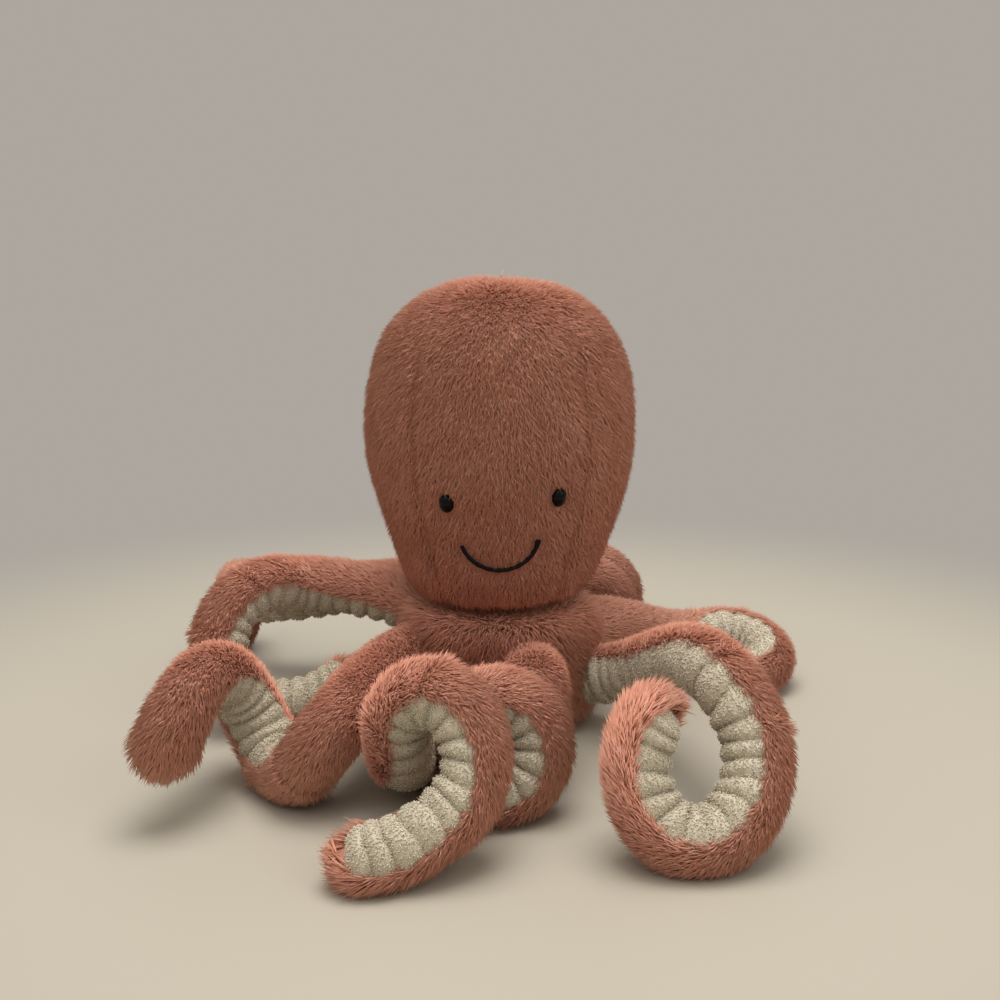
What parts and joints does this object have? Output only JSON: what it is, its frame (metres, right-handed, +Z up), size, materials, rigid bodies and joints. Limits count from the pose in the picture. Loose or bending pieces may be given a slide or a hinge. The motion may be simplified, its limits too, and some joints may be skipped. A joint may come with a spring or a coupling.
{
  "type": "plush toy",
  "caption": "Plush octopus with an egg-shaped fur head, bead eyes, a stitched smile and curling arms with gathered, ribbed cream undersides.",
  "frame": {"origin": "middle of the base panel's flat underside, on the floor", "axes": "+Z up, the face looks along -Y, +X to the right as seen from the front"},
  "size_m": [0.3783, 0.3546, 0.245],
  "materials": {
    "coral_fur": "short dense coral plush fur",
    "cream_terry": "gathered cream terry",
    "fibre_filling": "loose polyester fibre",
    "pouch_cloth": "plain woven cotton",
    "eye_plastic": "polished black",
    "washer_plastic": "moulded white",
    "mouth_thread": "black embroidery thread"
  },
  "bodies": {
    "body": {"body_cover": "coral_fur", "base_panel": "coral_fur", "bean_pouch": "pouch_cloth", "body_filling": "fibre_filling"},
    "neck": {"neck_filling": "fibre_filling"},
    "head": {"head_front_panel": "coral_fur", "head_left_panel": "coral_fur", "head_right_panel": "coral_fur", "head_filling": "fibre_filling", "eye_left": "eye_plastic", "eye_right": "eye_plastic", "eye_washer_left": "washer_plastic", "eye_washer_right": "washer_plastic", "mouth_thread": "mouth_thread"},
    "arm_front_left_root": {"arm_front_left_root_sleeve": "coral_fur", "arm_front_left_root_ribs": "cream_terry"},
    "arm_front_left_tip": {"arm_front_left_tip_sleeve": "coral_fur", "arm_front_left_tip_ribs": "cream_terry"},
    "arm_front_right_root": {"arm_front_right_root_sleeve": "coral_fur", "arm_front_right_root_ribs": "cream_terry"},
    "arm_front_right_tip": {"arm_front_right_tip_sleeve": "coral_fur", "arm_front_right_tip_ribs": "cream_terry"},
    "arm_left_front_root": {"arm_left_front_root_sleeve": "coral_fur", "arm_left_front_root_ribs": "cream_terry"},
    "arm_left_front_tip": {"arm_left_front_tip_sleeve": "coral_fur", "arm_left_front_tip_ribs": "cream_terry"},
    "arm_right_front_root": {"arm_right_front_root_sleeve": "coral_fur", "arm_right_front_root_ribs": "cream_terry"},
    "arm_right_front_tip": {"arm_right_front_tip_sleeve": "coral_fur", "arm_right_front_tip_ribs": "cream_terry"},
    "arm_left_back_root": {"arm_left_back_root_sleeve": "coral_fur", "arm_left_back_root_ribs": "cream_terry"},
    "arm_left_back_tip": {"arm_left_back_tip_sleeve": "coral_fur", "arm_left_back_tip_ribs": "cream_terry"},
    "arm_right_back_root": {"arm_right_back_root_sleeve": "coral_fur", "arm_right_back_root_ribs": "cream_terry"},
    "arm_right_back_tip": {"arm_right_back_tip_sleeve": "coral_fur", "arm_right_back_tip_ribs": "cream_terry"},
    "arm_back_left_root": {"arm_back_left_root_sleeve": "coral_fur", "arm_back_left_root_ribs": "cream_terry"},
    "arm_back_left_tip": {"arm_back_left_tip_sleeve": "coral_fur", "arm_back_left_tip_ribs": "cream_terry"},
    "arm_back_right_root": {"arm_back_right_root_sleeve": "coral_fur", "arm_back_right_root_ribs": "cream_terry"},
    "arm_back_right_tip": {"arm_back_right_tip_sleeve": "coral_fur", "arm_back_right_tip_ribs": "cream_terry"}
  },
  "joints": [
    {"name": "neck_lean", "type": "hinge", "parent": "body", "child": "neck", "pos_m": [0, 0, 0.07], "axis": [0, 1, 0], "range_deg": [-6, 6], "stiffness_Nm_per_rad": 1.5},
    {"name": "neck_nod", "type": "hinge", "parent": "neck", "child": "head", "pos_m": [0, 0, 0.07], "axis": [1, 0, 0], "range_deg": [-6, 6], "stiffness_Nm_per_rad": 1.5},
    {"name": "arm_front_left_raise", "type": "hinge", "parent": "body", "child": "arm_front_left_root", "pos_m": [-0.02059, -0.0497, 0.04167], "axis": [-0.9239, 0.3827, 0], "range_deg": [0, 12], "stiffness_Nm_per_rad": 0.3},
    {"name": "arm_front_left_uncurl", "type": "hinge", "parent": "arm_front_left_root", "child": "arm_front_left_tip", "pos_m": [-0.04812, -0.14128, 0.06992], "axis": [-0.5514, -0.8341, -0.0157], "range_deg": [0, 40], "stiffness_Nm_per_rad": 0.15},
    {"name": "arm_front_right_raise", "type": "hinge", "parent": "body", "child": "arm_front_right_root", "pos_m": [0.02059, -0.0497, 0.05729], "axis": [-0.9239, -0.3827, 0], "range_deg": [0, 15], "stiffness_Nm_per_rad": 0.3},
    {"name": "arm_front_right_uncurl", "type": "hinge", "parent": "arm_front_right_root", "child": "arm_front_right_tip", "pos_m": [-0.03036, -0.1087, 0.03139], "axis": [-0.3221, -0.9155, -0.241], "range_deg": [0, 40], "stiffness_Nm_per_rad": 0.15},
    {"name": "arm_left_front_raise", "type": "hinge", "parent": "body", "child": "arm_left_front_root", "pos_m": [-0.0497, -0.02059, 0.05982], "axis": [-0.3827, 0.9239, 0], "range_deg": [0, 30], "stiffness_Nm_per_rad": 0.3},
    {"name": "arm_left_front_uncurl", "type": "hinge", "parent": "arm_left_front_root", "child": "arm_left_front_tip", "pos_m": [-0.09877, -0.12292, 0.00173], "axis": [-0.8298, -0.4702, 0.3006], "range_deg": [0, 40], "stiffness_Nm_per_rad": 0.15},
    {"name": "arm_right_front_raise", "type": "hinge", "parent": "body", "child": "arm_right_front_root", "pos_m": [0.0497, -0.02059, 0.04419], "axis": [-0.3827, -0.9239, 0], "range_deg": [0, 30], "stiffness_Nm_per_rad": 0.3},
    {"name": "arm_right_front_uncurl", "type": "hinge", "parent": "arm_right_front_root", "child": "arm_right_front_tip", "pos_m": [0.1174, -0.13895, 0.06283], "axis": [0.1083, -0.6685, 0.7358], "range_deg": [0, 40], "stiffness_Nm_per_rad": 0.15},
    {"name": "arm_left_back_raise", "type": "hinge", "parent": "body", "child": "arm_left_back_root", "pos_m": [-0.0497, 0.02059, 0.07424], "axis": [0.3827, 0.9239, 0], "range_deg": [0, 30], "stiffness_Nm_per_rad": 0.3},
    {"name": "arm_left_back_uncurl", "type": "hinge", "parent": "arm_left_back_root", "child": "arm_left_back_tip", "pos_m": [-0.15923, -0.02049, 0.07451], "axis": [-0.5042, 0.7494, -0.4292], "range_deg": [0, 40], "stiffness_Nm_per_rad": 0.15},
    {"name": "arm_right_back_raise", "type": "hinge", "parent": "body", "child": "arm_right_back_root", "pos_m": [0.0497, 0.02059, 0.06003], "axis": [0.3827, -0.9239, 0], "range_deg": [0, 30], "stiffness_Nm_per_rad": 0.3},
    {"name": "arm_right_back_uncurl", "type": "hinge", "parent": "arm_right_back_root", "child": "arm_right_back_tip", "pos_m": [0.13305, 0.08342, 0.02271], "axis": [-0.1151, 0.1411, 0.9833], "range_deg": [0, 40], "stiffness_Nm_per_rad": 0.15},
    {"name": "arm_back_left_raise", "type": "hinge", "parent": "body", "child": "arm_back_left_root", "pos_m": [-0.02059, 0.0497, 0.07054], "axis": [0.9239, 0.3827, 0], "range_deg": [0, 30], "stiffness_Nm_per_rad": 0.3},
    {"name": "arm_back_left_uncurl", "type": "hinge", "parent": "arm_back_left_root", "child": "arm_back_left_tip", "pos_m": [-0.14581, 0.0661, 0.06289], "axis": [0.2563, 0.9637, 0.0753], "range_deg": [0, 40], "stiffness_Nm_per_rad": 0.15},
    {"name": "arm_back_right_raise", "type": "hinge", "parent": "body", "child": "arm_back_right_root", "pos_m": [0.02059, 0.0497, 0.0685], "axis": [0.9239, -0.3827, 0], "range_deg": [0, 30], "stiffness_Nm_per_rad": 0.3},
    {"name": "arm_back_right_uncurl", "type": "hinge", "parent": "arm_back_right_root", "child": "arm_back_right_tip", "pos_m": [0.05699, 0.10724, -0.00163], "axis": [-0.4703, -0.8823, -0.0179], "range_deg": [0, 40], "stiffness_Nm_per_rad": 0.15}
  ]
}
